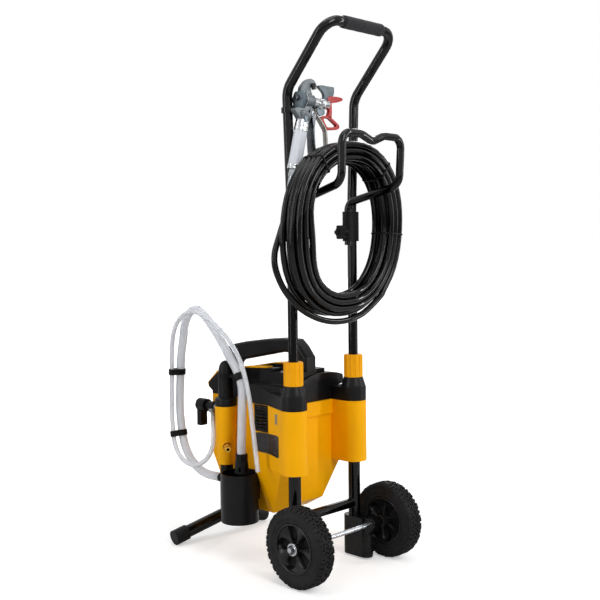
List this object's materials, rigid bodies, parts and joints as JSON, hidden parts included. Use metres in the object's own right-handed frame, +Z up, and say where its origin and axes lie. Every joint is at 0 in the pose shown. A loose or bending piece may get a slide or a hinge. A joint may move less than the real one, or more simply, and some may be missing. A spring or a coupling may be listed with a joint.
{
  "type": "airless paint sprayer",
  "caption": "Airless paint sprayer on a two-wheel cart with telescoping handle, coiled hose on a hook, spray gun, piston pump, suction tube and drip cup.",
  "frame": {"origin": "middle of the bounding box's base, on the floor, measured without the free hose", "axes": "+Z up, +Y towards the wheel side and the user, +X towards the pump column"},
  "size_m": [0.3317, 0.5363, 1.1065],
  "materials": {
    "black_paint": "gloss",
    "dark_plastic": "satin",
    "yellow_plastic": "satin",
    "rubber": "matte",
    "tyre": "matte",
    "foam": "matte",
    "steel": "brushed",
    "gun_metal": "satin",
    "grip_plastic": "satin",
    "red_plastic": "satin",
    "hose": "satin",
    "clear_tube": "translucent",
    "brass": "satin",
    "cast_aluminium": "cast",
    "copper_core": "satin"
  },
  "bodies": {
    "cart": {"uprights": "black_paint", "cross_tube": "black_paint", "axle_boots": "dark_plastic", "axle": "steel", "axle_nuts": "steel", "front_stand": "black_paint", "foot_caps": "rubber", "lower_shell": "yellow_plastic", "upper_cap": "dark_plastic", "top_cover": "yellow_plastic", "carry_handle": "dark_plastic", "vent_grille": "dark_plastic", "control_panel": "dark_plastic", "cord_gland": "dark_plastic", "body_screws": "steel", "pump_block": "cast_aluminium", "pump_shroud": "yellow_plastic", "pump_cap": "dark_plastic", "inlet_nut": "dark_plastic", "outlet_fitting": "brass", "suction_tube": "clear_tube", "return_tube": "clear_tube", "tube_clips": "dark_plastic", "strainer": "dark_plastic", "motor": "cast_aluminium"},
    "wheel_left": {"hub_left": "dark_plastic", "tyre_left": "tyre"},
    "wheel_right": {"hub_right": "dark_plastic", "tyre_right": "tyre"},
    "handle": {"handle_tube": "black_paint", "handle_grip": "foam", "hose_hook": "black_paint", "hook_clamps": "dark_plastic", "gun_holder": "black_paint", "gun_body": "gun_metal", "gun_grip": "grip_plastic", "gun_swivel": "steel", "trigger_pin": "steel", "trigger_guard": "gun_metal", "nozzle_nut": "dark_plastic", "hose_coil": "hose", "hose_lead": "hose", "hose_ties": "dark_plastic", "hose_fittings": "steel"},
    "knob_left": {"star_knob_left": "dark_plastic"},
    "knob_right": {"star_knob_right": "dark_plastic"},
    "lock_collar_left": {"collar_left": "yellow_plastic"},
    "lock_collar_right": {"collar_right": "yellow_plastic"},
    "trigger": {"gun_trigger": "gun_metal"},
    "needle": {"gun_needle": "steel"},
    "lock_lever": {"trigger_lock": "red_plastic"},
    "guard": {"tip_guard": "red_plastic"},
    "tip": {"spray_tip": "gun_metal"},
    "valve": {"prime_valve": "dark_plastic"},
    "pressure": {"pressure_knob": "dark_plastic"},
    "switch": {"power_switch": "red_plastic"},
    "cup": {"drip_cup": "dark_plastic"},
    "rotor": {"rotor": "copper_core"},
    "gear": {"drive_gear": "steel"},
    "piston": {"piston": "steel"}
  },
  "joints": [
    {"name": "wheel_left_spin", "type": "hinge", "parent": "cart", "child": "wheel_left", "pos_m": [0.1345, 0.18018, 0.08], "axis": [1, 0, 0], "continuous": true},
    {"name": "wheel_right_spin", "type": "hinge", "parent": "cart", "child": "wheel_right", "pos_m": [-0.1345, 0.18018, 0.08], "axis": [1, 0, 0], "continuous": true},
    {"name": "handle_slide", "type": "slide", "parent": "cart", "child": "handle", "axis": [0, 0, 1], "range_m": [-0.07, 0]},
    {"name": "collar_left_twist", "type": "hinge", "parent": "cart", "child": "lock_collar_left", "pos_m": [0.09, 0.12417, 0.41], "axis": [0, 0, 1], "range_deg": [0, 60]},
    {"name": "collar_right_twist", "type": "hinge", "parent": "cart", "child": "lock_collar_right", "pos_m": [-0.09, 0.12417, 0.41], "axis": [0, 0, 1], "range_deg": [0, 60]},
    {"name": "knob_left_turn", "type": "hinge", "parent": "handle", "child": "knob_left", "pos_m": [0.052, 0.13018, 0.695], "axis": [1, 0, 0], "range_deg": [-180, 180]},
    {"name": "knob_right_turn", "type": "hinge", "parent": "handle", "child": "knob_right", "pos_m": [-0.052, 0.13018, 0.695], "axis": [1, 0, 0], "range_deg": [-180, 180]},
    {"name": "trigger_pull", "type": "hinge", "parent": "handle", "child": "trigger", "pos_m": [0.06, 0.14617, 0.93], "axis": [0, -1, 0], "range_deg": [0, 16], "stiffness_Nm_per_rad": 1.2, "springref_deg": -8.59},
    {"name": "needle_slide", "type": "slide", "parent": "handle", "child": "needle", "axis": [1, 0, 0], "range_m": [0, 0.003]},
    {"name": "lock_flip", "type": "hinge", "parent": "handle", "child": "lock_lever", "pos_m": [0.079, 0.15618, 0.923], "axis": [0, -1, 0], "range_deg": [0, 90]},
    {"name": "guard_turn", "type": "hinge", "parent": "handle", "child": "guard", "pos_m": [0.014, 0.14617, 0.952], "axis": [1, 0, 0], "range_deg": [0, 90]},
    {"name": "tip_turn", "type": "hinge", "parent": "guard", "child": "tip", "pos_m": [0.014, 0.14617, 0.952], "axis": [0, 0, 1], "range_deg": [0, 180]},
    {"name": "valve_turn", "type": "hinge", "parent": "cart", "child": "valve", "pos_m": [0.08, -0.15982, 0.316], "axis": [0, 1, 0], "range_deg": [-90, 0]},
    {"name": "pressure_turn", "type": "hinge", "parent": "cart", "child": "pressure", "pos_m": [-0.053, -0.18182, 0.294], "axis": [0, -1, 0], "range_deg": [0, 270]},
    {"name": "switch_rock", "type": "hinge", "parent": "cart", "child": "switch", "pos_m": [-0.053, -0.17883, 0.246], "axis": [1, 0, 0], "range_deg": [-8, 8]},
    {"name": "cup_slide", "type": "slide", "parent": "cart", "child": "cup", "axis": [0, 0, 1], "range_m": [-0.05, 0]},
    {"name": "rotor_spin", "type": "hinge", "parent": "cart", "child": "rotor", "pos_m": [-0.02, -0.00983, 0.215], "axis": [0, 1, 0], "continuous": true},
    {"name": "gear_spin", "type": "hinge", "parent": "cart", "child": "gear", "pos_m": [-0.02, -0.07683, 0.2695], "axis": [0, 1, 0], "continuous": true},
    {"name": "piston_stroke", "type": "slide", "parent": "cart", "child": "piston", "axis": [1, 0, 0], "range_m": [-0.009, 0.009]}
  ],
  "couplings": [
    {"joint": "needle_slide", "follows": "trigger_pull", "m_per_rad": 0.010743},
    {"joint": "gear_spin", "follows": "rotor_spin", "ratio": -0.2}
  ]
}
